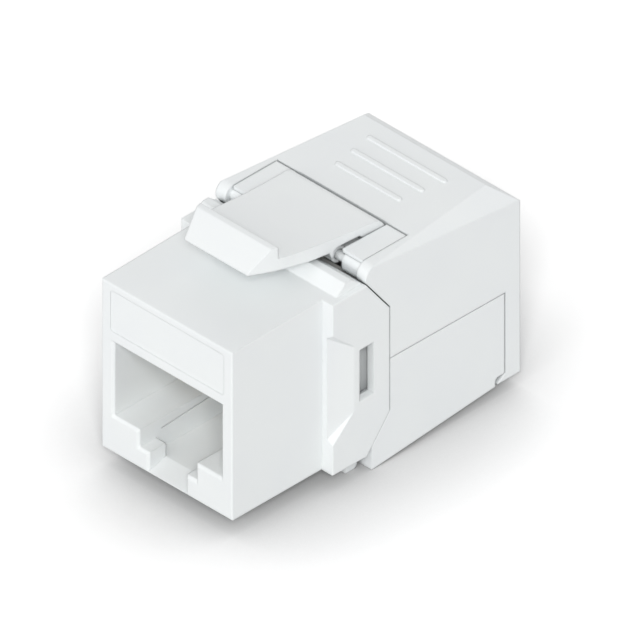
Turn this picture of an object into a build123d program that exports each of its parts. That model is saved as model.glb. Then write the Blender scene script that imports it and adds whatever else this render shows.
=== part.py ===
from build123d import *
from math import hypot
import os

# Keystone jack with a hinged rear cap. Millimetres.
# X is the width, Y runs from the port face to the rear, Z is up.
# The origin is on the port face, midway across and level with the underside of the nose.

# Nose, the part that shows through the wall plate
nose_width = 14.5
nose_height = 16.13
nose_length = 10.0
nose_top_draft = 0.22
nose_edge = 0.12

# Flange behind the nose
flange_width = 16.9
flange_rear = 16.35
flange_slant_start = 13.8
flange_bottom_front = -0.07
flange_bottom = -0.1
flange_lower_knee = 3.07
flange_upper_knee = 13.0
flange_edge = 0.08
flange_floor = 1.1
flange_roof = 1.3
cheek_wall = 0.75

# Hook under the flange, for the lower edge of the panel
hook_half_width = 7.3
hook_front = 12.57
hook_rear = 13.83
hook_low = -1.7
hook_round = 0.4

# Ramp cut in each front corner of the flange
ramp_inset = 0.64
ramp_length = 2.34
ramp_low_front = 2.76
ramp_low_rear = 4.95
ramp_low_root = 3.14
ramp_high_front = 13.34
ramp_high_rear = 11.2
ramp_high_root = 12.88

# Window through each cheek, and the hollow behind it
window_front = 13.0
window_length = 1.57
window_low = 5.63
window_high = 10.55
hollow_lead = 0.2
hollow_margin = 0.5

# Low bar across the top of the flange
bar_half_width = 7.96
bar_front = 10.91
bar_height = 0.95
bar_slope = 1.0
bar_flat = 0.67
bar_sink = 0.2

# Port
port_width = 11.96
port_top = 10.5
port_shoulder = 3.5
port_depth = 13.2
port_bevel = 0.22
key_width = 6.36
key_floor = 0.6
key_lip = 0.1
key_depth = 12.0
keeper_gap = 4.16
keeper_top = 1.85
keeper_length = 1.98
groove_front = 2.6
groove_low_front = 2.38
groove_low_rear = 3.02
groove_high = 0.1
groove_deep = 0.12

# Framed panel above the port
panel_width = 12.6
panel_low = 11.6
panel_high = 15.5
panel_corner = 0.3
panel_step = 0.06

# Contacts and their carrier
contact_count = 8
contact_pitch = 1.02
contact_wide = 0.36
contact_thick = 0.3
contact_bend = 0.42
contact_front = 4.75
contact_nose_drop = 1.1
contact_tip_depth = 14.2
contact_tip_height = 8.1
contact_run_height = 11.95
contact_tail_room = 0.6
contact_tail_stagger = 1.1
contact_tail_drop = 0.5
sled_slot = 0.52
sled_slot_room = 0.35
sled_clearance = 0.1
sled_shelf_width = 9.4
sled_shelf_front = 4.0
sled_shelf_top = 14.3
sled_width = 12.1
sled_bottom = 3.1
tip_room_behind = 0.4
tip_room_below = 0.6

# Rear housing
body_inset = 0.05
body_wall = 1.2
body_front_wall = 1.0
body_rear_wall = 1.15
body_split_front = 8.0
body_split_rear = 7.9
body_lap = 1.95
body_bottom_front = -1.7
body_bottom_rear = -0.55
body_floor = 0.9
board_ledge = 0.65
seam = 0.1
neck_wall = 0.8
neck_low = 1.2
neck_window_low = 2.0
neck_window_high = 7.0
neck_reach = 0.15

# Notch in the body's lower rear corner, for the catch of the cap
notch_length = 1.03
notch_high = 0.24
notch_round = 0.35
catch_edge_round = 0.2

# Deck beside and under the latch
deck_lead = 0.3
deck_reach = 3.05
deck_drop = 0.95
deck_thick = 1.0
deck_haunch = 0.5
tower_wall = 1.0
wing_front = 14.6
wing_drop = 0.05
wing_thick = 0.35

# Hinge of the cap
knuckle_radius = 0.57
knuckle_drop = 0.5
knuckle_inner = 5.2
pin_radius = 0.42
hinge_clearance = 0.04
lug_radius = 0.75
lug_inner = 3.1
lug_outer = 4.3
lug_reach = 0.3

# Rear cap
cap_wall = 1.1
cap_top = 17.85
cap_top_wall = 1.2
cap_rear = 30.9
cap_rear_wall = 1.45
cap_rear_foot = 1.62
cap_bottom = -0.45
cap_rear_run = 2.21
cap_rear_edge = 16.05
cap_bevel_start = 13.5
cap_bevel_rear = 1.65
cap_bevel_drop = 1.75
cap_notch_room = 0.2
nose_radius = 1.0
split_gap = 0.07
rear_gap = 0.12
cable_radius = 3.6
cable_height = 8.0

# Grip ribs on the cap
rib_count = 3
rib_lead = 2.82
rib_margin = 1.99
rib_half_length = 3.65
rib_growth = 0.38
rib_wide = 0.5
rib_high = 0.16
rib_sink = 0.1
rib_draft = 12

# Latch lever
latch_tip = 5.49
latch_tip_rise = 2.13
latch_tip_half_width = 3.48
latch_tip_edge = 0.12
latch_ridge = 8.1
latch_ridge_rise = 3.99
latch_ridge_half_width = 4.34
latch_ridge_flat = 0.45
latch_ridge_round = 0.15
latch_step = 1.0
latch_slope = 0.1345
latch_thick = 1.05
latch_half_width = 4.62
latch_flare = 0.03
latch_shoulder = 0.6
latch_rear_room = 0.55
latch_rear_corner = 0.6
latch_rear_round = 0.6
latch_under_front = 9.3
latch_root_long = 2.15
latch_foot_room = 1.4
latch_foot_rise = 0.05
latch_foot_radius = 0.5
latch_foot_clearance = 0.05
latch_gap = 0.1
latch_seat_margin = 0.4

# Board and wire terminals
board_thick = 1.0
board_low = 2.6
board_clearance = 0.1
board_hole = 0.4
terminal_side = 1.19
terminal_wide = 2.3
terminal_thick = 0.4
terminal_top = 11.2
terminal_corner = 0.5
terminal_slot = 0.35
terminal_slot_depth = 3.2
terminal_lead_wide = 0.3
terminal_lead_deep = 0.6
terminal_tail = 0.6
terminal_tail_wide = 0.5
block_top = 12.0
block_inset = 0.1
block_wall = 2.7
block_slot = 0.95
block_slot_depth = 3.3
block_base = 1.3
block_clearance = 0.15
block_rear_room = 1.46
pocket_clearance = 0.08

# Wire guide under the cap
guide_side_gap = 0.2
guide_rear_gap = 0.55
guide_front_gap = 1.0
guide_thick = 1.3
guide_fin_wide = 0.55
guide_fin_long = 0.9
guide_fin_low = 9.9
guide_fin_gap = 0.15

# How far a cut runs past the face that it opens
past = 0.1

# Sizes that follow from the ones above
nose_half = nose_width / 2
flange_half = flange_width / 2
port_half = port_width / 2
key_half = key_width / 2
keeper_half = keeper_gap / 2
body_half = flange_half - body_inset
body_inner = body_half - body_wall
cap_half = body_half
cap_inner = cap_half - cap_wall
flange_front = nose_length
flange_top = nose_height + nose_top_draft
slant_run = flange_rear - flange_slant_start
upper_slant = hypot(slant_run, flange_top - flange_upper_knee)
slant_out = (flange_top - flange_upper_knee) / upper_slant
slant_up = slant_run / upper_slant
hinge_z = cap_top - nose_radius
hinge_y = flange_slant_start + (nose_radius + seam - (hinge_z - flange_top) * slant_up) / slant_out
cap_front = flange_rear + seam
cap_rear_inner = cap_rear - cap_rear_foot
cap_rear_flat = cap_rear - cap_rear_run
body_front = flange_rear - body_lap
body_rear = cap_rear_inner - rear_gap
notch_front = body_rear - notch_length
deck_front = flange_rear - deck_lead
deck_rear = flange_rear + deck_reach
cap_notch_rear = deck_rear + cap_notch_room
rib_first = cap_notch_rear + rib_lead
rib_pitch = (cap_rear_flat - rib_margin - rib_first) / (rib_count - 1)
deck_half_width = cap_inner - seam
deck_high = cap_top - deck_drop
deck_low = deck_high - deck_thick
wing_top = cap_top - wing_drop
latch_tip_height = deck_high + latch_tip_rise
latch_ridge_top = deck_high + latch_ridge_rise
latch_foot_z = deck_high + latch_foot_rise
latch_rear = deck_rear - latch_rear_room
latch_root_front = deck_rear - latch_root_long
latch_foot_y = deck_rear - latch_foot_room
board_top = board_low + board_thick
board_front = cap_front + neck_reach + board_clearance
board_rear = body_rear - body_rear_wall - board_clearance
contact_tail_front = board_front + contact_tail_room
board_half_width = body_inner - board_clearance
block_half_width = board_half_width - block_inset
terminal_pitch = 2 * (block_half_width - terminal_side) / (contact_count - 1)
terminal_front_row = deck_rear + block_clearance + block_wall / 2
terminal_rear_row = body_rear - body_rear_wall - block_rear_room - block_wall / 2
terminal_row_pitch = terminal_rear_row - terminal_front_row
guide_front = deck_rear + guide_front_gap
pocket_half = sled_width / 2 + neck_wall + 2 * sled_clearance
contact_columns = [(i - (contact_count - 1) / 2) * contact_pitch for i in range(contact_count)]
terminal_columns = [(i - (contact_count - 1) / 2) * terminal_pitch for i in range(contact_count)]


def box_between(x0, x1, y0, y1, z0, z1, mode=Mode.ADD):
    """Adds or cuts a box given by its limits on each axis."""
    with BuildSketch(Plane.XY.offset(z0)) as base:
        with Locations(((x0 + x1) / 2, (y0 + y1) / 2)):
            Rectangle(x1 - x0, y1 - y0)
    extrude(base.sketch, amount=z1 - z0, mode=mode)


def side_profile(points, x0, x1, mode=Mode.ADD):
    """Extrudes an outline drawn in Y and Z across the width from x0 to x1."""
    with BuildSketch(Plane.YZ.offset(x0)) as outline:
        with BuildLine():
            Polyline(*points, close=True)
        make_face()
    extrude(outline.sketch, amount=x1 - x0, mode=mode)


def terminal_row(index):
    """Depth of the row that a wire terminal stands in: the rows alternate."""
    return terminal_front_row + (index % 2) * terminal_row_pitch


def contact_tail(index):
    """Depth at which a contact's tail goes through the board."""
    return contact_tail_front + (index % 2) * contact_tail_stagger


def build_front_housing():
    """Nose with the port, framed panel, flange with ramps and windows, bar on top and hook below."""
    with BuildPart() as front:
        side_profile(
            [(0, 0), (nose_length, 0), (nose_length, flange_top), (0, nose_height)],
            -nose_half,
            nose_half,
        )
        fillet(front.faces().sort_by(Axis.Y)[0].edges(), nose_edge)
        side_profile(
            [
                (flange_front, flange_bottom_front),
                (flange_slant_start, flange_bottom),
                (flange_rear, flange_lower_knee),
                (flange_rear, flange_upper_knee),
                (flange_slant_start, flange_top),
                (flange_front, flange_top),
            ],
            -flange_half,
            flange_half,
        )
        outer_edges = front.edges().filter_by(Plane.YZ).group_by(Axis.X)
        fillet(outer_edges[0] + outer_edges[-1], flange_edge)
        bar_top = flange_top + bar_height
        side_profile(
            [
                (bar_front, flange_top - bar_sink),
                (bar_front, flange_top),
                (bar_front + bar_slope, bar_top),
                (bar_front + bar_slope + bar_flat, bar_top),
                (flange_slant_start, flange_top),
                (flange_slant_start, flange_top - bar_sink),
            ],
            -bar_half_width,
            bar_half_width,
        )
        hook_top = flange_bottom + seam + flange_floor / 2
        box_between(-hook_half_width, hook_half_width, hook_front, hook_rear, hook_low, hook_top)
        hook_edges = front.edges().filter_by(Axis.X).group_by(Axis.Z)[0]
        fillet(hook_edges.sort_by(Axis.Y)[-1], hook_round)
        cut_port()
        cut_panel()
        cut_rear_pockets()
        for side in (-1, 1):
            cut_ramp(side)
            cut_window(side)
    return front.part


def cut_port():
    """Plug cavity with its keyway and the two keeper blocks, bevelled at the mouth."""
    box_between(-port_half, port_half, 0, port_depth, port_shoulder, port_top, Mode.SUBTRACT)
    box_between(-key_half, key_half, keeper_length, key_depth, key_floor, port_shoulder, Mode.SUBTRACT)
    box_between(-key_half, key_half, 0, keeper_length, keeper_top, port_shoulder, Mode.SUBTRACT)
    side_profile(
        [(0, key_lip), (keeper_length, key_floor), (keeper_length, keeper_top), (0, keeper_top)],
        -keeper_half,
        keeper_half,
        Mode.SUBTRACT,
    )
    side_profile(
        [
            (groove_front, groove_low_front),
            (key_depth, groove_low_rear),
            (key_depth, groove_low_rear + groove_high),
            (groove_front, groove_low_front + groove_high),
        ],
        -key_half - groove_deep,
        key_half + groove_deep,
        Mode.SUBTRACT,
    )
    with BuildSketch(Plane.XZ) as mouth:
        with BuildLine():
            Polyline(
                (-port_half, port_top),
                (-port_half, port_shoulder),
                (-key_half, port_shoulder),
                (-key_half, keeper_top),
                (-keeper_half, keeper_top),
                (-keeper_half, key_lip),
                (keeper_half, key_lip),
                (keeper_half, keeper_top),
                (key_half, keeper_top),
                (key_half, port_shoulder),
                (port_half, port_shoulder),
                (port_half, port_top),
                close=True,
            )
        make_face()
        offset(amount=port_bevel, kind=Kind.INTERSECTION)
        with Locations((0, key_lip - port_bevel)):
            Rectangle(port_width, 2 * port_bevel, mode=Mode.SUBTRACT)
    extrude(mouth.sketch, amount=-port_bevel, taper=45, mode=Mode.SUBTRACT)


def cut_panel():
    """Shallow framed panel on the front face, left bare."""
    middle = (panel_low + panel_high) / 2
    with BuildSketch(Plane.XZ) as panel:
        with Locations((0, middle)):
            RectangleRounded(panel_width, panel_high - panel_low, panel_corner)
    extrude(panel.sketch, amount=-panel_step, mode=Mode.SUBTRACT)


def cut_rear_pockets():
    """Room for the contact carrier, for the neck of the rear housing and behind the windows."""
    shelf_half = sled_shelf_width / 2 + sled_clearance
    box_between(
        -shelf_half,
        shelf_half,
        sled_shelf_front - sled_clearance,
        port_depth,
        port_top - past,
        sled_shelf_top + sled_clearance,
        Mode.SUBTRACT,
    )
    box_between(
        -pocket_half,
        pocket_half,
        port_depth,
        flange_rear,
        flange_bottom + flange_floor,
        flange_top - flange_roof,
        Mode.SUBTRACT,
    )
    cheek_inner = flange_half - cheek_wall
    box_between(
        -cheek_inner,
        cheek_inner,
        window_front - hollow_lead,
        flange_rear,
        window_low - hollow_margin,
        window_high + hollow_margin,
        Mode.SUBTRACT,
    )


def ramp_end(front, rear, root, outward, back):
    """Height of a ramp's sloping end wall, outward of the side face and back from the front."""
    return front + (front - root) / ramp_inset * outward + (rear - front) / ramp_length * back


def cut_ramp(side):
    """Sloping recess on the front outer corner of the flange, cut to run out past the side."""
    low = (ramp_low_front, ramp_low_rear, ramp_low_root)
    high = (ramp_high_front, ramp_high_rear, ramp_high_root)
    outward = ramp_inset
    back = ramp_length * (ramp_inset + outward) / ramp_inset
    root = side * (flange_half - ramp_inset)
    edge = side * (flange_half + outward)
    with BuildSketch(Plane.XZ.offset(-flange_front)) as front_face:
        with BuildLine():
            Polyline(
                (root, ramp_low_root),
                (root, ramp_high_root),
                (edge, ramp_end(*high, outward, 0)),
                (edge, ramp_end(*low, outward, 0)),
                close=True,
            )
        make_face()
    with BuildSketch(Plane.XZ.offset(-flange_front - back)) as rear_face:
        sliver = side * flange_edge / 2
        with BuildLine():
            Polyline(
                (edge - sliver, ramp_end(*low, outward, back)),
                (edge - sliver, ramp_end(*high, outward, back)),
                (edge, ramp_end(*high, outward, back)),
                (edge, ramp_end(*low, outward, back)),
                close=True,
            )
        make_face()
    loft([front_face.sketch, rear_face.sketch], mode=Mode.SUBTRACT)


def cut_window(side):
    """Tall window through the cheek, over the hollow behind it."""
    inner = flange_half - cheek_wall - past
    x0, x1 = sorted((side * inner, side * (flange_half + past)))
    box_between(
        x0, x1, window_front, window_front + window_length, window_low, window_high, Mode.SUBTRACT
    )


def build_rear_housing():
    """Body behind the flange: side walls, floor, catch notch, neck, deck, wings and hinge lugs."""
    cavity_front = body_front + body_front_wall
    cavity_rear = body_rear - body_rear_wall
    ledge_inner = body_inner - board_ledge
    with BuildPart() as rear:
        side_profile(
            [
                (body_front, body_bottom_front),
                (notch_front, body_bottom_rear),
                (notch_front, notch_high),
                (body_rear, notch_high),
                (body_rear, body_split_rear),
                (cap_front, body_split_front),
                (cap_front, flange_lower_knee),
                (body_front, flange_lower_knee - (cap_front - body_front) * slant_rise()),
            ],
            -body_half,
            body_half,
        )
        notch_edges = rear.edges().filter_by(Axis.X).filter_by_position(
            Axis.Z, notch_high - flange_edge, notch_high + flange_edge
        )
        fillet(notch_edges.sort_by(Axis.Y)[0], notch_round)
        corner_edges = rear.edges().filter_by(Axis.X).group_by(Axis.Y)[-1]
        fillet(corner_edges.sort_by(Axis.Z)[0], catch_edge_round)
        box_between(
            -ledge_inner, ledge_inner, cavity_front, cavity_rear, body_floor, board_low, Mode.SUBTRACT
        )
        box_between(
            -body_inner,
            body_inner,
            cavity_front,
            cavity_rear,
            board_low,
            body_split_front,
            Mode.SUBTRACT,
        )
        neck_window = pocket_half - neck_wall - sled_clearance - board_clearance
        box_between(
            -neck_window,
            neck_window,
            body_front - body_front_wall,
            board_front,
            neck_window_low,
            neck_window_high,
            Mode.SUBTRACT,
        )
        for side in (-1, 1):
            add_neck(side)
            add_tower_wall(side)
        add_deck()
        with Locations(Plane.XZ.offset(-body_rear)):
            with Locations((0, cable_height)):
                Hole(cable_radius, depth=body_rear_wall + past)
    return rear.part


def slant_rise():
    """Rise of the flange's lower slant for each millimetre of depth."""
    return (flange_lower_knee - flange_bottom) / (flange_rear - flange_slant_start)


def add_neck(side):
    """Side wall of the neck that plugs into the flange."""
    outer = pocket_half - sled_clearance
    x0, x1 = sorted((side * (outer - neck_wall), side * outer))
    neck_top = flange_top - flange_roof - 2 * seam
    box_between(x0, x1, port_depth + neck_reach, cap_front + neck_reach, neck_low, neck_top)


def add_tower_wall(side):
    """Upright that joins the body to the deck, inside the cap's side wall."""
    x0, x1 = sorted((side * (deck_half_width - tower_wall), side * deck_half_width))
    box_between(x0, x1, cap_front, deck_rear, board_top + board_clearance, deck_high)


def add_deck():
    """Deck under the latch, its two raised wings, the hinge lugs and the latch's seat."""
    side_profile(
        [
            (deck_front, deck_low + deck_haunch),
            (deck_front + deck_haunch, deck_low),
            (deck_rear, deck_low),
            (deck_rear, deck_high),
            (deck_front, deck_high),
        ],
        -deck_half_width,
        deck_half_width,
    )
    for side in (-1, 1):
        add_wing(side)
        add_hinge_lug(side)
    seat_half = latch_half_width + latch_seat_margin
    with BuildSketch(Plane.YZ.offset(-seat_half)) as seat:
        with Locations((latch_foot_y, latch_foot_z)):
            Circle(latch_foot_radius + latch_foot_clearance)
    extrude(seat.sketch, amount=2 * seat_half, mode=Mode.SUBTRACT)


def add_wing(side):
    """Raised strip beside the latch, flush with the cap, on a block that rises from the deck."""
    front_inner = latch_width_at(wing_front) + latch_gap
    rear_inner = latch_width_at(deck_rear) + latch_gap
    with BuildSketch(Plane.XY.offset(wing_top - wing_thick)) as wing:
        with BuildLine():
            Polyline(
                (side * front_inner, wing_front),
                (side * deck_half_width, wing_front),
                (side * deck_half_width, deck_rear),
                (side * rear_inner, deck_rear),
                close=True,
            )
        make_face()
    extrude(wing.sketch, amount=wing_thick)
    x0, x1 = sorted((side * rear_inner, side * deck_half_width))
    box_between(x0, x1, deck_front, deck_rear, deck_high - past, wing_top - wing_thick)


def add_hinge_lug(side):
    """Eye under the latch that the cap's pin turns in, carried by the front of the deck."""
    x0, x1 = sorted((side * lug_inner, side * lug_outer))
    root = deck_front + lug_reach
    with BuildSketch(Plane.YZ.offset(x0)) as lug:
        with Locations((hinge_y, hinge_z)):
            Circle(lug_radius)
        with Locations(((hinge_y + root) / 2, (deck_low + deck_haunch + deck_high) / 2)):
            Rectangle(root - hinge_y, deck_high - deck_low - deck_haunch)
        with Locations((hinge_y, hinge_z)):
            Circle(pin_radius + hinge_clearance, mode=Mode.SUBTRACT)
    extrude(lug.sketch, amount=x1 - x0)


def latch_width_at(depth):
    """Half width of the latch plate at a given depth."""
    return latch_half_width + latch_flare * (depth - latch_ridge)


def latch_top_at(depth):
    """Height of the latch plate's upper face at a given depth."""
    return latch_ridge_top - latch_step - latch_slope * (depth - latch_ridge)


def build_latch_lever():
    """Springy lever: wedge with a ridge, sloping plate and the foot that it bends about."""
    under = latch_tip_height - latch_tip_edge
    rear_half = latch_width_at(latch_rear)
    flare_end = latch_ridge + latch_shoulder
    with BuildPart() as latch:
        side_profile(
            [
                (latch_tip, under),
                (latch_tip, latch_tip_height),
                (latch_ridge - latch_ridge_flat, latch_ridge_top),
                (latch_ridge, latch_ridge_top),
                (latch_ridge, latch_top_at(latch_ridge)),
                (latch_rear, latch_top_at(latch_rear)),
                (latch_rear, latch_foot_z + latch_foot_radius / 2),
                (latch_foot_y - latch_foot_radius, latch_foot_z + latch_foot_radius / 2),
                (latch_root_front, latch_top_at(latch_root_front) - latch_thick),
                (latch_under_front, latch_top_at(latch_under_front) - latch_thick),
                (latch_ridge, under),
            ],
            -rear_half,
            rear_half,
        )
        ridge_edges = latch.edges().filter_by(Axis.X).group_by(Axis.Z)[-1]
        fillet(ridge_edges, latch_ridge_round)
        rear_edge = latch.faces().sort_by(Axis.Y)[-1].edges().filter_by(Axis.X).sort_by(Axis.Z)[-1]
        fillet(rear_edge, latch_rear_round)
        with BuildSketch(Plane.YZ.offset(-latch_half_width)):
            with Locations((latch_foot_y, latch_foot_z)):
                Circle(latch_foot_radius)
        extrude(amount=2 * latch_half_width)
        with BuildSketch(Plane.XY.offset(latch_foot_z - 2 * latch_foot_radius)) as plan:
            with BuildLine():
                Polyline(
                    (-latch_tip_half_width, latch_tip),
                    (latch_tip_half_width, latch_tip),
                    (latch_ridge_half_width, latch_ridge),
                    (latch_width_at(flare_end), flare_end),
                    (rear_half, latch_rear),
                    (-rear_half, latch_rear),
                    (-latch_width_at(flare_end), flare_end),
                    (-latch_ridge_half_width, latch_ridge),
                    close=True,
                )
            make_face()
            fillet(plan.vertices().group_by(Axis.Y)[-1], latch_rear_corner)
        extrude(amount=latch_ridge_top - latch_foot_z + 4 * latch_foot_radius, mode=Mode.INTERSECT)
    return latch.part


def build_wire_cap():
    """Rear cap: top, side arms with round noses, rear wall with the cable mouth, and ribs."""
    touch_y = hinge_y - nose_radius * slant_out
    touch_z = hinge_z - nose_radius * slant_up
    knee_z = touch_z - (cap_front - touch_y) * slant_out / slant_up
    with BuildPart() as cap:
        with BuildSketch(Plane.YZ.offset(-cap_half)):
            with BuildLine():
                Polyline(
                    (hinge_y, cap_top),
                    (cap_rear_flat, cap_top),
                    (cap_rear, cap_rear_edge),
                    (cap_rear, cap_bottom),
                    (cap_rear_inner, cap_bottom),
                    (cap_rear_inner, body_split_rear + split_gap),
                    (cap_front, body_split_front + split_gap),
                    (cap_front, knee_z),
                    (touch_y, touch_z),
                    (hinge_y, hinge_z),
                    close=True,
                )
            make_face()
            with Locations((hinge_y, hinge_z)):
                Circle(nose_radius)
        extrude(amount=2 * cap_half)
        add_catch()
        bevel_cap_sides()
        box_between(
            -cap_inner,
            cap_inner,
            hinge_y - 2 * nose_radius,
            cap_rear - cap_rear_wall,
            cap_bottom - past,
            cap_top - cap_top_wall,
            Mode.SUBTRACT,
        )
        box_between(
            -cap_inner,
            cap_inner,
            hinge_y - 2 * nose_radius,
            cap_notch_rear,
            cap_top - 2 * cap_top_wall,
            cap_top + past,
            Mode.SUBTRACT,
        )
        cut_cable_mouth()
        add_ribs()
        for side in (-1, 1):
            add_hinge_pin(side)
    return cap.part


def add_catch():
    """Bead along the foot of the rear wall that closes under the body's rounded rear edge."""
    centre_y = body_rear - catch_edge_round
    centre_z = notch_high + catch_edge_round
    swing = hypot(centre_y - hinge_y, centre_z - hinge_z) + catch_edge_round + seam
    with BuildSketch(Plane.YZ.offset(-cap_half)) as catch:
        with Locations(((notch_front + seam + cap_rear) / 2, (cap_bottom + notch_high) / 2)):
            Rectangle(cap_rear - notch_front - seam, notch_high - cap_bottom)
        with Locations((hinge_y, hinge_z)):
            Circle(swing, mode=Mode.SUBTRACT)
    extrude(catch.sketch, amount=2 * cap_half)


def bevel_cap_sides():
    """Cuts the bevel that widens rearwards along each upper edge of the cap."""
    for side in (-1, 1):
        start = Vector(side * cap_half, cap_bevel_start, cap_top)
        low = Vector(side * cap_half, cap_rear, cap_top - cap_bevel_drop)
        high = Vector(side * (cap_half - cap_bevel_rear), cap_rear_flat, cap_top)
        normal = (low - start).cross(high - start)
        if normal.Z < 0:
            normal = normal * -1
        split(bisect_by=Plane(origin=start, z_dir=normal), keep=Keep.BOTTOM)


def cut_cable_mouth():
    """Arched mouth in the rear wall, open at the bottom so that the cap can close."""
    with BuildSketch(Plane.XZ.offset(-cap_rear)) as mouth:
        with Locations((0, cable_height)):
            Circle(cable_radius)
        with Locations((0, (cable_height + cap_bottom) / 2)):
            Rectangle(2 * cable_radius, cable_height - cap_bottom)
    extrude(mouth.sketch, amount=cap_rear - notch_front, mode=Mode.SUBTRACT)


def add_ribs():
    """Three low grip ribs with round ends, longer towards the rear."""
    for i in range(rib_count):
        length = 2 * (rib_half_length + i * rib_growth)
        with BuildSketch(Plane.XY.offset(cap_top - rib_sink)) as rib:
            with Locations((0, rib_first + i * rib_pitch)):
                SlotOverall(length, rib_wide)
        extrude(rib.sketch, amount=rib_high + rib_sink, taper=rib_draft)


def add_hinge_pin(side):
    """Knuckle and pin that reach in from the side arm to the hinge lug."""
    with BuildSketch(Plane.YZ.offset(side * knuckle_inner)) as knuckle:
        with Locations((hinge_y, hinge_z), (hinge_y, hinge_z - knuckle_drop)):
            Circle(knuckle_radius)
        with Locations((hinge_y, hinge_z - knuckle_drop / 2)):
            Rectangle(2 * knuckle_radius, knuckle_drop)
    extrude(knuckle.sketch, amount=side * (cap_inner - knuckle_inner + past))
    with BuildSketch(Plane.YZ.offset(side * (lug_inner + seam))) as pin:
        with Locations((hinge_y, hinge_z)):
            Circle(pin_radius)
    extrude(pin.sketch, amount=side * (knuckle_inner - lug_inner))


def build_contact_sled():
    """Carrier for the contacts: a shelf over the port and a rear wall with comb slots."""
    half = sled_width / 2
    shelf_half = sled_shelf_width / 2
    front = port_depth + sled_clearance
    back = flange_rear - sled_clearance
    shelf_low = port_top + sled_clearance
    with BuildPart() as sled:
        box_between(-half, half, front, back, sled_bottom, sled_shelf_top)
        box_between(-shelf_half, shelf_half, sled_shelf_front, front, shelf_low, sled_shelf_top)
        for x in contact_columns:
            x0, x1 = x - sled_slot / 2, x + sled_slot / 2
            run_top = contact_run_height + sled_slot_room
            slot_front = contact_front - sled_slot_room
            tip_rear = contact_tip_depth + tip_room_behind
            tip_low = contact_tip_height - tip_room_below
            box_between(x0, x1, slot_front, back, shelf_low - past, run_top, Mode.SUBTRACT)
            box_between(x0, x1, front - past, tip_rear, tip_low, run_top, Mode.SUBTRACT)
    return sled.part


def build_jack_contact(index):
    """One spring contact: free tip, sloping beam, front bend, straight run and tail."""
    tail = contact_tail(index)
    with BuildPart() as contact:
        with BuildSketch(Plane.YZ.offset(contact_columns[index] - contact_wide / 2)):
            with BuildLine():
                FilletPolyline(
                    (contact_tip_depth, contact_tip_height),
                    (contact_front, contact_run_height - contact_nose_drop),
                    (contact_front, contact_run_height),
                    (tail, contact_run_height),
                    (tail, board_low - contact_tail_drop),
                    radius=contact_bend,
                )
            trace(line_width=contact_thick)
        extrude(amount=contact_wide)
    return contact.part


def build_circuit_board():
    """Board with a hole for each contact tail and each terminal tail."""
    with BuildPart() as board:
        box_between(
            -board_half_width, board_half_width, board_front, board_rear, board_low, board_top
        )
        holes = [(contact_columns[i], contact_tail(i)) for i in range(contact_count)]
        holes += [(terminal_columns[i], terminal_row(i)) for i in range(contact_count)]
        with Locations(Plane.XY.offset(board_top)):
            with Locations(*holes):
                Hole(board_hole, depth=board_thick)
    return board.part


def build_terminal_block():
    """Block on the board with wire slots along its length and a pocket for each terminal."""
    with BuildPart() as block:
        front = terminal_front_row - block_wall / 2
        rear = terminal_rear_row + block_wall / 2
        box_between(
            -block_half_width, block_half_width, front, rear, board_top, board_top + block_base
        )
        for row in (terminal_front_row, terminal_rear_row):
            box_between(
                -block_half_width,
                block_half_width,
                row - block_wall / 2,
                row + block_wall / 2,
                board_top,
                block_top,
            )
        for x in terminal_columns:
            box_between(
                x - block_slot / 2,
                x + block_slot / 2,
                front - past,
                rear + past,
                block_top - block_slot_depth,
                block_top + past,
                Mode.SUBTRACT,
            )
        for i, x in enumerate(terminal_columns):
            half_wide = terminal_wide / 2 + pocket_clearance
            half_thick = terminal_thick / 2 + pocket_clearance
            row = terminal_row(i)
            box_between(
                x - half_wide,
                x + half_wide,
                row - half_thick,
                row + half_thick,
                board_top - past,
                block_top + past,
                Mode.SUBTRACT,
            )
    return block.part


def build_idc_terminal(index):
    """One slotted plate that bites into a wire, with its tail in the board."""
    x = terminal_columns[index]
    row = terminal_row(index)
    half = terminal_wide / 2
    throat = terminal_slot / 2
    with BuildPart() as terminal:
        with BuildSketch(Plane.XZ.offset(-row - terminal_thick / 2)):
            with BuildLine():
                Polyline(
                    (x - half, board_top),
                    (x + half, board_top),
                    (x + half, terminal_top - terminal_corner),
                    (x + half - terminal_corner, terminal_top),
                    (x + throat + terminal_lead_wide, terminal_top),
                    (x + throat, terminal_top - terminal_lead_deep),
                    (x + throat, terminal_top - terminal_slot_depth),
                    (x - throat, terminal_top - terminal_slot_depth),
                    (x - throat, terminal_top - terminal_lead_deep),
                    (x - throat - terminal_lead_wide, terminal_top),
                    (x - half + terminal_corner, terminal_top),
                    (x - half, terminal_top - terminal_corner),
                    close=True,
                )
            make_face()
            with Locations((x, board_top - (board_thick + terminal_tail) / 2)):
                Rectangle(terminal_tail_wide, board_thick + terminal_tail)
        extrude(amount=terminal_thick)
    return terminal.part


def build_wire_guide():
    """Plate under the cap's top with a fin over each wire, just behind its terminal."""
    top = cap_top - cap_top_wall
    low = top - guide_thick
    half = cap_inner - guide_side_gap
    rear = cap_rear - cap_rear_wall - guide_rear_gap
    with BuildPart() as guide:
        box_between(-half, half, guide_front, rear, low, top)
        for i, x in enumerate(terminal_columns):
            start = terminal_row(i) + terminal_thick / 2 + guide_fin_gap
            box_between(
                x - guide_fin_wide / 2,
                x + guide_fin_wide / 2,
                start,
                start + guide_fin_long,
                guide_fin_low,
                low + past,
            )
    return guide.part


def save(shape, name):
    """Names a finished piece and writes it as a STEP file."""
    shape.label = name
    export_step(shape, f"parts/{name}.step")


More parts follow.
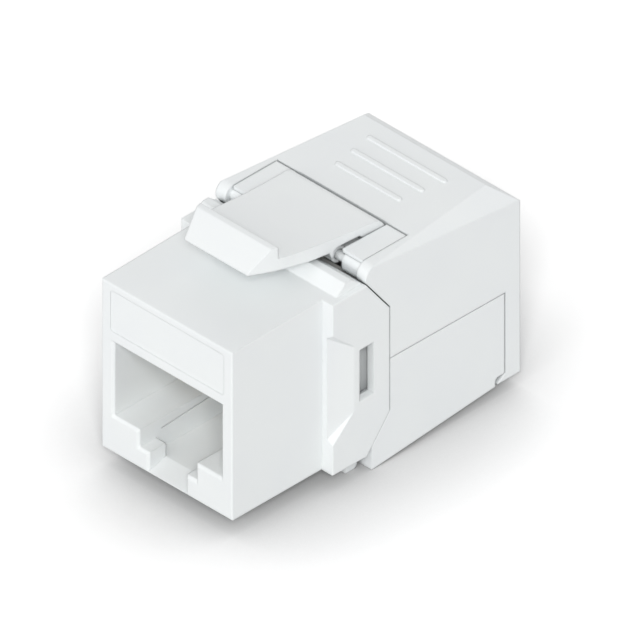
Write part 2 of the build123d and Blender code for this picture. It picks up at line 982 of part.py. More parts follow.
os.makedirs("parts", exist_ok=True)
save(build_front_housing(), "front_housing")
save(build_rear_housing(), "rear_housing")
save(build_latch_lever(), "latch_lever")
save(build_wire_cap(), "wire_cap")
save(build_contact_sled(), "contact_sled")
save(build_circuit_board(), "circuit_board")
save(build_terminal_block(), "terminal_block")
save(build_wire_guide(), "wire_guide")
for number in range(contact_count):
    save(build_jack_contact(number), f"jack_contact_{number + 1}")
    save(build_idc_terminal(number), f"idc_terminal_{number + 1}")
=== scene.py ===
"""Latch, finish and studio for a tool-less keystone jack.

One operator builds or dresses each piece or group of like pieces, and one sets the stage.
"""

import math

import bmesh
import bpy
from bpy.props import FloatProperty, FloatVectorProperty, PointerProperty
from mathutils import Matrix, Vector


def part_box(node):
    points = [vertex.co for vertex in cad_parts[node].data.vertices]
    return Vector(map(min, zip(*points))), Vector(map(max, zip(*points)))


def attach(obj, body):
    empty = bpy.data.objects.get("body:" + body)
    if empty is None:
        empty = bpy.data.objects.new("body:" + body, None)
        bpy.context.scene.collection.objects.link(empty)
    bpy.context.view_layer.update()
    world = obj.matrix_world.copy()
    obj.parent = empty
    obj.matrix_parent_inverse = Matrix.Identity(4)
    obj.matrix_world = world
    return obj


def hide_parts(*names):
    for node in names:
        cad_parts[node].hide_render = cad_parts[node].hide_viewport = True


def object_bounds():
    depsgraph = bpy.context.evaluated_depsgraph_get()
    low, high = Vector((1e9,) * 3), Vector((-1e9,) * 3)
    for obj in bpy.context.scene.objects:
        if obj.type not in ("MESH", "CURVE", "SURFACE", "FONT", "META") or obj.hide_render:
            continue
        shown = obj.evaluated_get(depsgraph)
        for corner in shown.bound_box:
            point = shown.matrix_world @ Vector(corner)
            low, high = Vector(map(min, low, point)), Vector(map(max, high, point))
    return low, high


bl_info = {
    "name": "Keystone jack finish",
    "version": (1, 0, 0),
    "blender": (4, 5, 0),
    "location": "3D View > Sidebar > Keystone",
    "description": "Builds the jack's latch, gives each piece its finish and sets a pale studio",
    "category": "Object",
}

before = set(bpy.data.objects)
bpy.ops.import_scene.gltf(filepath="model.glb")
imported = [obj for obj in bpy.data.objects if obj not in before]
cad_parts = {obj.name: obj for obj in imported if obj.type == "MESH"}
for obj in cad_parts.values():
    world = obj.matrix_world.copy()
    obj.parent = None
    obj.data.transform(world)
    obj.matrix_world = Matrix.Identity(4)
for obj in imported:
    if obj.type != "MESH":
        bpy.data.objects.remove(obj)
cad_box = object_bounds()

MM = 0.001
# Digits of a millimetre kept in the latch's lines, so that lines which meet share their points
DIGITS = 5
# Widest turn between two steps of a rounded corner, and the angle from which an edge stays sharp
ROUND_STEP = math.radians(7.0)
SHARP_EDGE = math.radians(25.0)

# Corners of the plain lever in the frame, in millimetres
lever_low, lever_high = [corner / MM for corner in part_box("latch_lever")]
# Strips of the latch's hollow plate and slices of its round foot
PLATE_STRIPS = 8
FOOT_SLICES = 12
# Radii of the crest's two edges, of the belly's bends and of the sides' bends, in millimetres
CREST_ROUND = 0.15
BELLY_BEND = 8.0
RIDGE_BEND = 6.0
KNEE_BEND = 20.0
# Underside: distances from the tip and heights above the middle of the foot, in millimetres
BELLY = [(2.81, 1.65), (6.01, 1.0), (7.96, 0.8)]
LEG = [(8.2, 0.2), (8.46, 0.2)]
ARCH = [(8.46, 0.8), (8.81, 1.02), (11.11, 1.02)]

# Indices of refraction
POLYCARBONATE_IOR = 1.58
POLYESTER_IOR = 1.57
MASK_IOR = 1.52
# Range in which a noise texture mostly stays
NOISE_RANGE = (0.3, 0.7)
# Radians that a wave texture runs through in one unit of its scale
WAVE_TURN = 20.0
# Colour of the painted shade deep in a narrow gap, and the open share of the surroundings up to
# which it is full
PAINTED_GAP_SHADE = "8C9192"
GAP_SHARE = 0.05

# Half the side of the floor, in metres
FLOOR_HALF = 2.0
# Brightness of the open floor under the studio's light
FLOOR_LIT = 0.8
# Share of white left where the jack hides all of the near or the wide surroundings
NEAR_SHADE = 0.63
WIDE_SHADE = 0.58
# Share of white left by the last trace of shade, and the open share at which it is fully there
TRACE_SHADE = 0.94
TRACE_SHARE = 0.88

# Turns of the lamps from straight in front of the port, and the height of the fill lamp
FILL_TURN = math.radians(45.0)
BACK_RIGHT_TURN = math.radians(135.0)
BACK_LEFT_TURN = math.radians(225.0)
FILL_HEIGHT = math.radians(36.5)
# Angles that the lamps take up in the sky
FILL_SOFTNESS = math.radians(16.0)
LOW_SOFTNESS = math.radians(50.0)

# Point at the middle of the picture, in millimetres, and the camera's distance in metres
PICTURE_MIDDLE = (0.765, 16.266, 8.0)
CAMERA_DISTANCE = 0.3


def from_hex(code):
    """Turns an sRGB hex colour into linear red, green and blue."""
    parts = [int(code[i:i + 2], 16) / 255 for i in (0, 2, 4)]
    return tuple(c / 12.92 if c <= 0.04045 else ((c + 0.055) / 1.055) ** 2.4 for c in parts)


def direction(azimuth, elevation):
    """Unit vector from the jack to what is seen at these angles, with 0 in front of the port."""
    return Vector(
        (
            math.sin(azimuth) * math.cos(elevation),
            -math.cos(azimuth) * math.cos(elevation),
            math.sin(elevation),
        )
    )


def per_metre(size_mm):
    """Texture scale that gives features about as large as the size in millimetres."""
    return 1.0 / (size_mm * MM)


def add_node(tree, kind, values=None, links=None, **settings):
    """Adds one shader node, sets it up and joins its inputs to other nodes' outputs."""
    node = tree.nodes.new(kind)
    for key, value in settings.items():
        setattr(node, key, value)
    for key, value in (values or {}).items():
        node.inputs[key].default_value = value
    for key, source in (links or {}).items():
        tree.links.new(source, node.inputs[key])
    return node


def new_material(name):
    """Empty material with a node tree."""
    material = bpy.data.materials.new(name)
    material.use_nodes = True
    material.node_tree.nodes.clear()
    return material, material.node_tree


def close_material(tree, shader):
    """Joins the finished shader to the material's output."""
    add_node(tree, "ShaderNodeOutputMaterial", links={"Surface": shader.outputs[0]})


def place_on_piece(tree):
    """Place on the piece, in metres."""
    return add_node(tree, "ShaderNodeTexCoord").outputs["Object"]


def combine(tree, operation, *patterns):
    """Works out one or two patterns' product, maximum or absolute value."""
    return add_node(
        tree, "ShaderNodeMath", links=dict(enumerate(patterns)), operation=operation
    ).outputs[0]


def colour_pair(tree, factor, first, second):
    """Mixes two colours by a pattern and gives the mixed colour."""
    mixed = add_node(
        tree,
        "ShaderNodeMix",
        values={6: (*first, 1.0), 7: (*second, 1.0)},
        links={0: factor},
        data_type="RGBA",
    )
    return mixed.outputs[2]


def spread(tree, value, low, high, from_low=0.0, from_high=1.0):
    """Maps a pattern onto a range."""
    ranged = add_node(
        tree,
        "ShaderNodeMapRange",
        values={"From Min": from_low, "From Max": from_high, "To Min": low, "To Max": high},
        links={"Value": value},
    )
    return ranged.outputs["Result"]


def noise(tree, place, size_mm, **values):
    """Noise with features about as large as the size in millimetres."""
    return add_node(
        tree,
        "ShaderNodeTexNoise",
        values={"Scale": per_metre(size_mm), **values},
        links={"Vector": place},
    ).outputs["Fac"]


def waves(tree, place, size_mm, axis, **values):
    """Even waves along an axis, each about 6.3 times as long as the size in millimetres."""
    return add_node(
        tree,
        "ShaderNodeTexWave",
        values={"Scale": per_metre(size_mm) / WAVE_TURN, **values},
        links={"Vector": place},
        bands_direction=axis,
    ).outputs["Fac"]


def open_around(tree, reach, samples):
    """Share of a point's surroundings, within the reach in metres, in which nothing stands."""
    return add_node(
        tree, "ShaderNodeAmbientOcclusion", values={"Distance": reach}, samples=samples
    ).outputs["AO"]


def moulded_plastic(
    name, colour, shade, roughness, ior, edge, grain_mm, relief_mm, gap_mm=1.6, open_share=0.36
):
    """Injection-moulded plastic: even colour, fine grain of a spark-eroded tool, soft edges.

    Painted shade darkens its colour in narrow gaps, where less than the open share of what lies
    within gap_mm is open.
    """
    material, tree = new_material(name)
    place = place_on_piece(tree)
    # The melt leaves a very slow change of tone over several millimetres
    flow = noise(tree, place, 7.0, Detail=1.0, Roughness=0.4, Distortion=0.6)
    tone = spread(tree, flow, 0.0, 1.0, *NOISE_RANGE)
    grain = noise(tree, place, grain_mm, Detail=3.0, Roughness=0.55)
    # Every moulded edge has a small radius that catches a thin line of light
    rounded = add_node(tree, "ShaderNodeBevel", values={"Radius": edge}, samples=8)
    relief = add_node(
        tree,
        "ShaderNodeBump",
        values={"Strength": 0.5, "Distance": relief_mm * MM},
        links={"Height": grain, "Normal": rounded.outputs["Normal"]},
    )
    # Painted shade: in narrow gaps the colour turns towards the dark gap colour, by how little of
    # the near surroundings is open
    seen_sky = open_around(tree, gap_mm * MM, samples=6)
    free = spread(tree, seen_sky, 0.0, 1.0, GAP_SHARE, open_share)
    skin = add_node(
        tree,
        "ShaderNodeMix",
        values={6: (*from_hex(PAINTED_GAP_SHADE), 1.0)},
        links={0: free, 7: colour_pair(tree, tone, colour, shade)},
        data_type="RGBA",
    ).outputs[2]
    shader = add_node(
        tree,
        "ShaderNodeBsdfPrincipled",
        values={"IOR": ior},
        links={
            "Base Color": skin,
            "Roughness": spread(tree, grain, roughness - 0.05, roughness + 0.05, *NOISE_RANGE),
            "Normal": relief.outputs["Normal"],
        },
    )
    close_material(tree, shader)
    return material


def board_laminate(name, mask, mask_weave, laminate, fibre):
    """Glass-epoxy board: glossy mask over a faint weave, and bare layers on the cut edge."""
    material, tree = new_material(name)
    place = place_on_piece(tree)
    # The cloth's threads show through the mask as a faint grid, drawn coarser than the real one
    across, along = [waves(tree, place, 0.45, axis, Distortion=0.4, Detail=1.0) for axis in "XY"]
    cloth = combine(tree, "MULTIPLY", across, along)
    # The cut edge shows the laminate's layers, drawn thicker than the real ones
    layers = waves(tree, place, 0.2, "Z", Distortion=1.5, Detail=2.0)
    # Level faces carry the mask, and upright ones are cut
    facing = add_node(tree, "ShaderNodeNewGeometry").outputs["Normal"]
    upward = add_node(tree, "ShaderNodeSeparateXYZ", links={0: facing}).outputs["Z"]
    masked = spread(tree, combine(tree, "ABSOLUTE", upward), 0.0, 1.0, 0.4, 0.6)
    top = colour_pair(tree, cloth, mask, mask_weave)
    edge = colour_pair(tree, layers, laminate, fibre)
    skin = add_node(
        tree, "ShaderNodeMix", links={0: masked, 6: edge, 7: top}, data_type="RGBA"
    ).outputs[2]
    relief = add_node(
        tree,
        "ShaderNodeBump",
        values={"Strength": 0.4, "Distance": 0.01 * MM},
        links={"Height": cloth},
    )
    edge_roughness, mask_roughness = 0.75, 0.28
    shader = add_node(
        tree,
        "ShaderNodeBsdfPrincipled",
        values={"IOR": MASK_IOR},
        links={
            "Base Color": skin,
            "Roughness": spread(tree, masked, edge_roughness, mask_roughness),
            "Normal": relief.outputs["Normal"],
        },
    )
    close_material(tree, shader)
    return material


def stamped_metal(name, colour, shade, roughness, stroke_mm, stroke_stretch, relief_mm):
    """Plated strip metal, stamped and formed: fine drawing lines and slightly uneven plating."""
    material, tree = new_material(name)
    place = place_on_piece(tree)
    # The lines are drawn wider than real ones, which are finer than a picture can show
    drawn = add_node(
        tree, "ShaderNodeMapping", values={"Scale": stroke_stretch}, links={"Vector": place}
    ).outputs[0]
    lines = noise(tree, drawn, stroke_mm, Detail=4.0, Roughness=0.6)
    # The plating varies in patches of about a millimetre
    patches = spread(tree, noise(tree, place, 1.2, Detail=2.0), 0.0, 1.0, 0.35, 0.65)
    relief = add_node(
        tree,
        "ShaderNodeBump",
        values={"Strength": 0.35, "Distance": relief_mm * MM},
        links={"Height": lines},
    )
    shader = add_node(
        tree,
        "ShaderNodeBsdfPrincipled",
        values={"Metallic": 1.0},
        links={
            "Base Color": colour_pair(tree, patches, colour, shade),
            "Roughness": spread(tree, lines, roughness - 0.08, roughness + 0.1, *NOISE_RANGE),
            "Normal": relief.outputs["Normal"],
        },
    )
    close_material(tree, shader)
    return material


def floor_material(colour, reach, wide_reach):
    """Matte paper floor. Seen straight, in a mirror or through glass, it is white with a shadow.

    The shadow at the jack's foot is painted on, and the jack's surfaces are lit by the plain paper.
    """
    material, tree = new_material("studio_floor_matte_paper")
    seen = add_node(tree, "ShaderNodeLightPath").outputs
    direct = combine(tree, "MAXIMUM", seen["Is Camera Ray"], seen["Is Glossy Ray"])
    looks = combine(tree, "MAXIMUM", direct, seen["Is Transmission Ray"])
    near_open = open_around(tree, reach, samples=12)
    squared = combine(tree, "MULTIPLY", near_open, near_open)
    # Paper that is lit to less than white shows as white where nothing stands near it
    near = spread(tree, squared, NEAR_SHADE / FLOOR_LIT, 1.0 / FLOOR_LIT)
    wide_open = open_around(tree, wide_reach, samples=12)
    wide = spread(tree, wide_open, WIDE_SHADE, 1.0)
    # A last trace of shade lies where the jack hides only a little of the sky
    trace = spread(tree, wide_open, TRACE_SHADE, 1.0, TRACE_SHARE, 1.0)
    white = combine(tree, "MULTIPLY", near, combine(tree, "MULTIPLY", wide, trace))
    shown = add_node(
        tree, "ShaderNodeCombineColor", links={0: white, 1: white, 2: white}
    ).outputs[0]
    look = add_node(
        tree,
        "ShaderNodeMix",
        values={6: (*colour, 1.0)},
        links={0: looks, 7: shown},
        data_type="RGBA",
    ).outputs[2]
    paper = add_node(
        tree, "ShaderNodeBsdfDiffuse", values={"Roughness": 0.3}, links={"Color": look}
    )
    close_material(tree, paper)
    return material


def dress(names, material):
    """Puts a material on each named piece of the frame."""
    for name in names:
        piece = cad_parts.get(name)
        if piece is None:
            raise RuntimeError(f"the frame has no piece named {name}")
        if not piece.material_slots:
            piece.data.materials.append(material)
        for slot in piece.material_slots:
            slot.material = material


def row_of(stem):
    """Names of the like pieces whose names start with the stem, in order."""
    names = sorted(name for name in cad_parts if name.startswith(stem))
    if not names:
        raise RuntimeError(f"the frame has no pieces named {stem}")
    return names


def flat_point(first, second):
    """Point of a flat line, rounded so that lines which meet share it exactly."""
    return Vector((round(first, DIGITS), round(second, DIGITS)))


def round_corners(path, radii):
    """Rounds an open path's corners, each by its own radius, with short straight steps."""
    done = [path[0]]
    for before, corner, after, radius in zip(path, path[1:], path[2:], radii):
        if radius == 0:
            done.append(corner)
            continue
        back = (before - corner).normalized()
        ahead = (after - corner).normalized()
        half_angle = math.acos(max(-1.0, min(1.0, back.dot(ahead)))) / 2
        centre = corner + (back + ahead).normalized() * (radius / math.sin(half_angle))
        start = corner + back * (radius / math.tan(half_angle)) - centre
        end = corner + ahead * (radius / math.tan(half_angle)) - centre
        turn = start.angle_signed(end)
        steps = max(2, math.ceil(abs(turn) / ROUND_STEP))
        for step in range(steps + 1):
            done.append(centre + Matrix.Rotation(-turn * step / steps, 2) @ start)
    done.append(path[-1])
    return [flat_point(*point) for point in done]


def fill_in(path, depths):
    """Adds a point to a path at each depth that it passes without one."""
    full = []
    for here, there in zip(path, path[1:]):
        full.append(here)
        for depth in depths:
            if here.x < depth < there.x:
                share = (depth - here.x) / (there.x - here.x)
                full.append(Vector((depth, here.y + share * (there.y - here.y))))
    return full + [path[-1]]


def flared_prism(name, upper, under, side):
    """Closed body between two lines, as wide at each depth as the side line says."""
    depths = sorted({point.x for path in (upper, under, side) for point in path})
    upper, under, side = [fill_in(path, depths) for path in (upper, under, side)]
    half_width = {point.x: point.y for point in side}
    shell = bmesh.new()
    ring = under + upper[::-1]
    # Each point of the ring gives a left and a right corner
    pairs = {}
    for point in ring:
        half = half_width[point.x]
        pairs[tuple(point)] = [
            shell.verts.new(Vector((x, point.x, point.y)) * MM) for x in (-half, half)
        ]
    for here, there in zip(ring, ring[1:] + ring[:1]):
        (left, right), (next_left, next_right) = pairs[tuple(here)], pairs[tuple(there)]
        shell.faces.new((left, right, next_right, next_left))
    # Both flanks are filled between neighbouring depths. Where a line has an upright step, the
    # strip in front of it ends at the step's first point and the strip behind starts at its last
    for near, far in zip(depths, depths[1:]):
        corners = []
        for depth, pick in ((near, -1), (far, 0)):
            low = [point.y for point in under if point.x == depth][pick]
            high = [point.y for point in upper if point.x == depth][pick]
            column = {point.y for point in ring if point.x == depth and low <= point.y <= high}
            corners.append([(depth, height) for height in sorted(column)])
        outline = corners[1] + corners[0][::-1]
        for flank in (0, 1):
            shell.faces.new([pairs[corner][flank] for corner in outline])
    bmesh.ops.recalc_face_normals(shell, faces=shell.faces)
    mesh = bpy.data.meshes.new(name)
    shell.to_mesh(mesh)
    shell.free()
    mesh.shade_smooth()
    mesh.set_sharp_from_angle(angle=SHARP_EDGE)
    piece = bpy.data.objects.new(name, mesh)
    bpy.context.scene.collection.objects.link(piece)
    return piece


def latch_upper(size, tip, crest, heel):
    """Upper line of the latch: wedge, flat crest, step, hollow plate and rounded rear edge."""
    ridge = tip + size["ridge_run"]
    rear = tip + size["rear_run"]
    plate_front = crest - size["step"]
    plate = []
    for strip in range(1, PLATE_STRIPS):
        share = strip / PLATE_STRIPS
        hollow = 4 * size["plate_sag"] * share * (1 - share)
        height = plate_front - share * size["plate_fall"] - hollow
        plate.append(Vector((ridge + share * (rear - ridge), height)))
    path = [
        Vector((tip, crest - size["tip_fall"])),
        Vector((ridge - size["ridge_flat"], crest)),
        Vector((ridge, crest)),
        Vector((ridge, plate_front)),
        *plate,
        Vector((rear, plate_front - size["plate_fall"])),
        Vector((rear, heel)),
    ]
    rounds = [CREST_ROUND, CREST_ROUND, 0.0, *[0.0] * len(plate), size["rear_round"]]
    # The line ends where the rear round meets the upright rear face
    return round_corners(path, rounds)[:-1]


def latch_under(size, tip, crest, foot_height, heel):
    """Under line of the latch: blunt tip, belly, leg, arch, round foot and heel."""
    radius = size["foot_radius"]
    foot = tip + size["foot_run"]
    path = [
        Vector((tip, crest - size["tip_fall"] - size["tip_edge"])),
        *[Vector((tip + run, foot_height + height)) for run, height in BELLY + LEG + ARCH],
        Vector((foot - radius, heel)),
    ]
    path = round_corners(path, [BELLY_BEND, BELLY_BEND, *[0.0] * (len(path) - 4)])
    for cut in range(FOOT_SLICES + 1):
        angle = math.pi * cut / FOOT_SLICES
        path.append(
            flat_point(foot - radius * math.cos(angle), foot_height - radius * math.sin(angle))
        )
    return path + [flat_point(foot + radius, heel), flat_point(tip + size["rear_run"], heel)]


def latch_side(size, tip):
    """Side line of the latch: its half width at each depth."""
    path = [
        Vector((tip, size["tip_half"])),
        Vector((tip + size["ridge_run"], size["ridge_half"])),
        Vector((tip + size["knee_run"], size["knee_half"])),
        Vector((tip + size["rear_run"], size["rear_half"])),
    ]
    return round_corners(path, [RIDGE_BEND, KNEE_BEND])


def millimetres(name, description, size):
    """Length property whose default is given in millimetres."""
    return FloatProperty(
        name=name, description=description, unit="LENGTH", min=0.0, default=size * MM
    )


def tint(name, description, code):
    """Colour property whose default is given as an sRGB hex colour."""
    return FloatVectorProperty(
        name=name,
        description=description,
        subtype="COLOR",
        min=0.0,
        max=1.0,
        default=from_hex(code),
    )


def light_level(name, description, brightness):
    """Brightness property, where 1 lights a white face fully."""
    return FloatProperty(name=name, description=description, min=0.0, default=brightness)


class LatchForm(bpy.types.PropertyGroup):
    """Sizes of the springy latch lever, from its tip in front to its rounded rear."""

    tip_half: millimetres("Tip half width", "Half width of the wedge's front edge", 3.5)
    tip_fall: millimetres("Tip below ridge", "Height of the ridge over the front edge", 1.69)
    tip_edge: millimetres("Tip edge", "Height of the blunt front edge", 0.24)
    ridge_run: millimetres("Ridge run", "Distance from the tip to the step behind the ridge", 2.61)
    ridge_flat: millimetres("Ridge flat", "Depth of the flat crest", 0.62)
    ridge_half: millimetres("Ridge half width", "Half width of the lever at the step", 4.37)
    step: millimetres("Step", "Fall from the ridge to the plate behind it", 1.12)
    plate_fall: millimetres("Plate fall", "Fall of the plate from the step to its rear end", 1.215)
    plate_sag: millimetres("Plate sag", "Depth of the plate's hollow below a straight line", 0.2)
    knee_run: millimetres("Knee run", "Distance from the tip to where the sides flare more", 8.71)
    knee_half: millimetres("Knee half width", "Half width of the lever at the knee", 4.675)
    rear_run: millimetres("Rear run", "Distance from the tip to the rear end", 13.76)
    rear_half: millimetres("Rear half width", "Half width of the lever at its rear end", 5.005)
    rear_round: millimetres("Rear round", "Radius of the rear end's upper edge", 1.2)
    foot_radius: millimetres("Foot radius", "Radius of the round foot the lever bends about", 0.5)
    foot_run: millimetres("Foot run", "Distance from the tip to the middle of the foot", 12.51)


class JackFinish(bpy.types.PropertyGroup):
    """Colours and surface sizes of the jack's own materials."""

    shell_colour: tint("Shell colour", "Cool white of the moulded polycarbonate shell", "EFF2F2")
    shell_shade: tint("Shell shade", "Slightly deeper white where the melt flowed slower", "EDF0F1")
    shell_roughness: FloatProperty(
        name="Shell roughness",
        description="Roughness of the satin shell",
        subtype="FACTOR",
        min=0.0,
        max=1.0,
        default=0.58,
    )
    shell_edge: millimetres("Edge radius", "Radius of the moulded edges", 0.2)
    insert_colour: tint("Insert colour", "Off-white of the inserts inside the jack", "EEEFEC")
    mask_colour: tint("Board colour", "Green mask on the circuit board", "1E6B3A")
    gold_colour: tint("Gold colour", "Hard gold on the spring contacts", "E2BE6A")
    tin_colour: tint("Tin colour", "Matte tin on the wire terminals", "C9C8C2")


class JackStudio(bpy.types.PropertyGroup):
    """Floor, light and camera."""

    azimuth: FloatProperty(
        name="Camera azimuth",
        description="Turn of the camera round the jack from straight in front",
        subtype="ANGLE",
        default=math.radians(45.0),
    )
    elevation: FloatProperty(
        name="Camera elevation",
        description="Height of the camera above the horizon",
        subtype="ANGLE",
        default=math.atan(math.sqrt(0.5)),
    )
    field: FloatProperty(
        name="Picture width",
        description="Width of the subject that the picture takes in",
        unit="LENGTH",
        min=0.001,
        default=50.356 * MM,
    )
    floor_colour: tint("Floor colour", "Pale paper, as the jack's surfaces see it", "D9D9D9")
    floor_gap: millimetres("Floor gap", "Air between the floor and the jack's lowest point", 0.02)
    sky_level: light_level("Sky level", "Even light from all round", 0.6)
    fill_level: light_level(
        "Fill lamp level", "Light of the lamp beside the camera on a white face turned to it", 0.47
    )
    front_level: light_level(
        "Front lamp level", "Light of the low lamp in front on a white face turned to it", 0.26
    )
    back_right_level: light_level(
        "Back right lamp level", "Light of the low lamp behind on the right", 0.09
    )
    back_left_level: light_level(
        "Back left lamp level", "Light of the low lamp behind on the left", 0.17
    )
    low_lamps: FloatProperty(
        name="Low lamp height",
        description="Height of the three low lamps above the horizon",
        subtype="ANGLE",
        default=math.radians(15.0),
    )
    shadow_reach: millimetres(
        "Shadow reach", "How far the shadow at the foot of the jack spreads over the floor", 12.0
    )
    wide_shadow_reach: millimetres(
        "Wide shadow reach", "How far the faint shadow round the jack spreads over the floor", 42.0
    )


def shell_material(name, grain_mm=0.35, rougher=0.0, gap_mm=1.6, open_share=0.36):
    """White polycarbonate of the outer shell. Its real grain is finer than this soft satin."""
    finish = bpy.context.scene.keystone_finish
    return moulded_plastic(
        name,
        finish.shell_colour,
        finish.shell_shade,
        roughness=finish.shell_roughness + rougher,
        ior=POLYCARBONATE_IOR,
        edge=finish.shell_edge,
        grain_mm=grain_mm,
        relief_mm=0.004,
        gap_mm=gap_mm,
        open_share=open_share,
    )


class DressFrontHousing(bpy.types.Operator):
    """Satin polycarbonate on the nose, port and flange"""

    bl_idname = "keystone.dress_front_housing"
    bl_label = "Front housing"

    def execute(self, context):
        # Wider and deeper painted shade in its gaps, which darkens the nose top under the latch
        white = shell_material("polycarbonate_moulded_front", gap_mm=2.0, open_share=0.22)
        dress(["front_housing"], white)
        return {"FINISHED"}


class DressRearHousing(bpy.types.Operator):
    """Satin polycarbonate on the body behind the flange"""

    bl_idname = "keystone.dress_rear_housing"
    bl_label = "Rear housing"

    def execute(self, context):
        dress(["rear_housing"], shell_material("polycarbonate_moulded_body", gap_mm=1.0))
        return {"FINISHED"}


class BuildLatch(bpy.types.Operator):
    """Springy latch: wedge with a ridge, hollow plate with flared sides, leg and round foot"""

    bl_idname = "keystone.build_latch"
    bl_label = "Latch lever"

    def execute(self, context):
        form = context.scene.keystone_latch
        size = {name: getattr(form, name) / MM for name in form.__annotations__}
        tip = lever_low.y
        crest = lever_high.z
        foot_height = lever_low.z + size["foot_radius"]
        heel = foot_height + size["foot_radius"] / 2
        upper = latch_upper(size, tip, crest, heel)
        under = latch_under(size, tip, crest, foot_height, heel)
        lever = flared_prism("latch_lever_moulded", upper, under, latch_side(size, tip))
        # Broad painted shade, which darkens the latch's sides towards the bottom and rear and the
        # foot of its ridge
        white = shell_material(
            "polycarbonate_moulded_latch", grain_mm=0.3, rougher=-0.03, gap_mm=2.5, open_share=0.62
        )
        lever.data.materials.append(white)
        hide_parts("latch_lever")
        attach(lever, "latch")
        return {"FINISHED"}


class DressCap(bpy.types.Operator):
    """Satin polycarbonate on the hinged rear cap"""

    bl_idname = "keystone.dress_cap"
    bl_label = "Wire cap"

    def execute(self, context):
        dress(["wire_cap"], shell_material("polycarbonate_moulded_cap"))
        return {"FINISHED"}


class DressInserts(bpy.types.Operator):
    """Duller moulded plastics on the contact carrier, terminal block and wire guide"""

    bl_idname = "keystone.dress_inserts"
    bl_label = "Inserts"

    def execute(self, context):
        colour = context.scene.keystone_finish.insert_colour
        carrier = moulded_plastic(
            "polyester_moulded_carrier",
            colour,
            from_hex("E8E9E6"),
            roughness=0.55,
            ior=POLYESTER_IOR,
            edge=0.06 * MM,
            grain_mm=0.2,
            relief_mm=0.006,
        )
        dress(["contact_sled"], carrier)
        for piece, name, shade in (
            ("terminal_block", "polycarbonate_moulded_block", "E0E2E0"),
            ("wire_guide", "polycarbonate_moulded_guide", "E2E4E2"),
        ):
            plastic = moulded_plastic(
                name,
                colour,
                from_hex(shade),
                roughness=0.5,
                ior=POLYCARBONATE_IOR,
                edge=0.08 * MM,
                grain_mm=0.25,
                relief_mm=0.005,
            )
            dress([piece], plastic)
        return {"FINISHED"}


class DressBoard(bpy.types.Operator):
    """Green glass-epoxy laminate on the circuit board"""

    bl_idname = "keystone.dress_board"
    bl_label = "Circuit board"

    def execute(self, context):
        laminate = board_laminate(
            "glass_epoxy_laminate",
            context.scene.keystone_finish.mask_colour,
            mask_weave=from_hex("2A7A47"),
            laminate=from_hex("C9BE8C"),
            fibre=from_hex("A99C68"),
        )
        dress(["circuit_board"], laminate)
        return {"FINISHED"}


class DressContacts(bpy.types.Operator):
    """Gold-plated spring wire on the eight contacts in the port"""

    bl_idname = "keystone.dress_contacts"
    bl_label = "Jack contacts"

    def execute(self, context):
        gold = stamped_metal(
            "gold_plated_phosphor_bronze",
            context.scene.keystone_finish.gold_colour,
            from_hex("D8AF58"),
            roughness=0.24,
            stroke_mm=0.12,
            stroke_stretch=(1.0, 0.12, 0.12),
            relief_mm=0.002,
        )
        dress(row_of("jack_contact_"), gold)
        return {"FINISHED"}


class DressTerminals(bpy.types.Operator):
    """Tin-plated strip on the eight slotted wire terminals"""

    bl_idname = "keystone.dress_terminals"
    bl_label = "Wire terminals"

    def execute(self, context):
        tin = stamped_metal(
            "tin_plated_phosphor_bronze",
            context.scene.keystone_finish.tin_colour,
            from_hex("B9B8B1"),
            roughness=0.38,
            stroke_mm=0.15,
            stroke_stretch=(1.0, 1.0, 0.15),
            relief_mm=0.003,
        )
        dress(row_of("idc_terminal_"), tin)
        return {"FINISHED"}


def lay_floor(studio):
    """Square sheet of pale paper just below the jack."""
    height = cad_box[0].z - studio.floor_gap
    ends = (-FLOOR_HALF, FLOOR_HALF)
    corners = [(x, y, height) for y in ends for x in ends]
    mesh = bpy.data.meshes.new("studio_floor")
    mesh.from_pydata(corners, [], [(0, 1, 3, 2)])
    paper = floor_material(studio.floor_colour, studio.shadow_reach, studio.wide_shadow_reach)
    mesh.materials.append(paper)
    floor = bpy.data.objects.new("studio_floor", mesh)
    bpy.context.scene.collection.objects.link(floor)


def light_sky(studio):
    """Even light from all round, which the picture shows as plain white."""
    world = bpy.data.worlds.new("studio_light")
    world.use_nodes = True
    tree = world.node_tree
    tree.nodes.clear()
    seen = add_node(tree, "ShaderNodeLightPath")
    strength = spread(tree, seen.outputs["Is Camera Ray"], studio.sky_level, 1.0)
    sky = add_node(tree, "ShaderNodeBackground", links={"Strength": strength})
    add_node(tree, "ShaderNodeOutputWorld", links={"Surface": sky.outputs[0]})
    bpy.context.scene.world = world


def soft_lamp(name, azimuth, elevation, level, softness):
    """Wide soft lamp that shines from a direction round the jack."""
    lamp = bpy.data.lights.new(name, "SUN")
    lamp.energy = math.pi * level
    lamp.angle = softness
    holder = bpy.data.objects.new(name, lamp)
    bpy.context.scene.collection.objects.link(holder)
    holder.rotation_euler = (-direction(azimuth, elevation)).to_track_quat("-Z", "Y").to_euler()


def place_camera(studio):
    """Camera without perspective, which looks at the middle of the picture."""
    back = direction(studio.azimuth, studio.elevation)
    lens = bpy.data.cameras.new("photograph_view")
    lens.type = "ORTHO"
    lens.ortho_scale = studio.field
    lens.clip_start = 0.01
    lens.clip_end = 10.0
    camera = bpy.data.objects.new("photograph_view", lens)
    bpy.context.scene.collection.objects.link(camera)
    camera.location = Vector(PICTURE_MIDDLE) * MM + back * CAMERA_DISTANCE
    camera.rotation_euler = (-back).to_track_quat("-Z", "Y").to_euler()
    bpy.context.scene.camera = camera


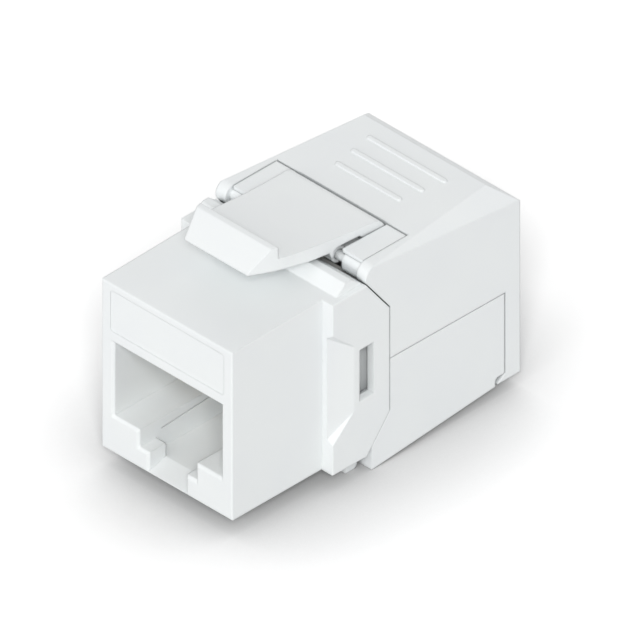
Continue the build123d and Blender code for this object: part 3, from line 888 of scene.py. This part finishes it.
class BuildStudio(bpy.types.Operator):
    """Pale floor, soft light from all round with a fill lamp and three low lamps, and the camera"""

    bl_idname = "keystone.build_studio"
    bl_label = "Studio"

    def execute(self, context):
        studio = context.scene.keystone_studio
        lay_floor(studio)
        light_sky(studio)
        low = studio.low_lamps
        soft_lamp("fill_lamp", FILL_TURN, FILL_HEIGHT, studio.fill_level, FILL_SOFTNESS)
        for name, turn, level in (
            ("front_lamp", 0.0, studio.front_level),
            ("back_right_lamp", BACK_RIGHT_TURN, studio.back_right_level),
            ("back_left_lamp", BACK_LEFT_TURN, studio.back_left_level),
        ):
            soft_lamp(name, turn, low, level, LOW_SOFTNESS)
        place_camera(studio)
        context.scene.view_settings.view_transform = "Standard"
        return {"FINISHED"}


class KeystonePanel(bpy.types.Panel):
    """Lists the steps and their settings"""

    bl_idname = "VIEW3D_PT_keystone"
    bl_label = "Keystone jack"
    bl_space_type = "VIEW_3D"
    bl_region_type = "UI"
    bl_category = "Keystone"

    def draw(self, context):
        layout = self.layout
        for step in STEPS:
            layout.operator(step.bl_idname)
        layout.separator()
        scene = context.scene
        for group in (scene.keystone_latch, scene.keystone_finish, scene.keystone_studio):
            for name in group.__annotations__:
                layout.prop(group, name)


STEPS = (
    DressFrontHousing,
    DressRearHousing,
    BuildLatch,
    DressCap,
    DressInserts,
    DressBoard,
    DressContacts,
    DressTerminals,
    BuildStudio,
)
CLASSES = (LatchForm, JackFinish, JackStudio, *STEPS, KeystonePanel)


def register():
    """Registers the classes and hangs the property groups on the scene."""
    for item in CLASSES:
        bpy.utils.register_class(item)
    bpy.types.Scene.keystone_latch = PointerProperty(type=LatchForm)
    bpy.types.Scene.keystone_finish = PointerProperty(type=JackFinish)
    bpy.types.Scene.keystone_studio = PointerProperty(type=JackStudio)


def unregister():
    """Takes the property groups and classes out again."""
    del bpy.types.Scene.keystone_studio
    del bpy.types.Scene.keystone_finish
    del bpy.types.Scene.keystone_latch
    for item in reversed(CLASSES):
        bpy.utils.unregister_class(item)


def main():
    """Runs every step in order."""
    register()
    for step in STEPS:
        group, name = step.bl_idname.split(".")
        getattr(getattr(bpy.ops, group), name)()


if __name__ == "__main__":
    main()
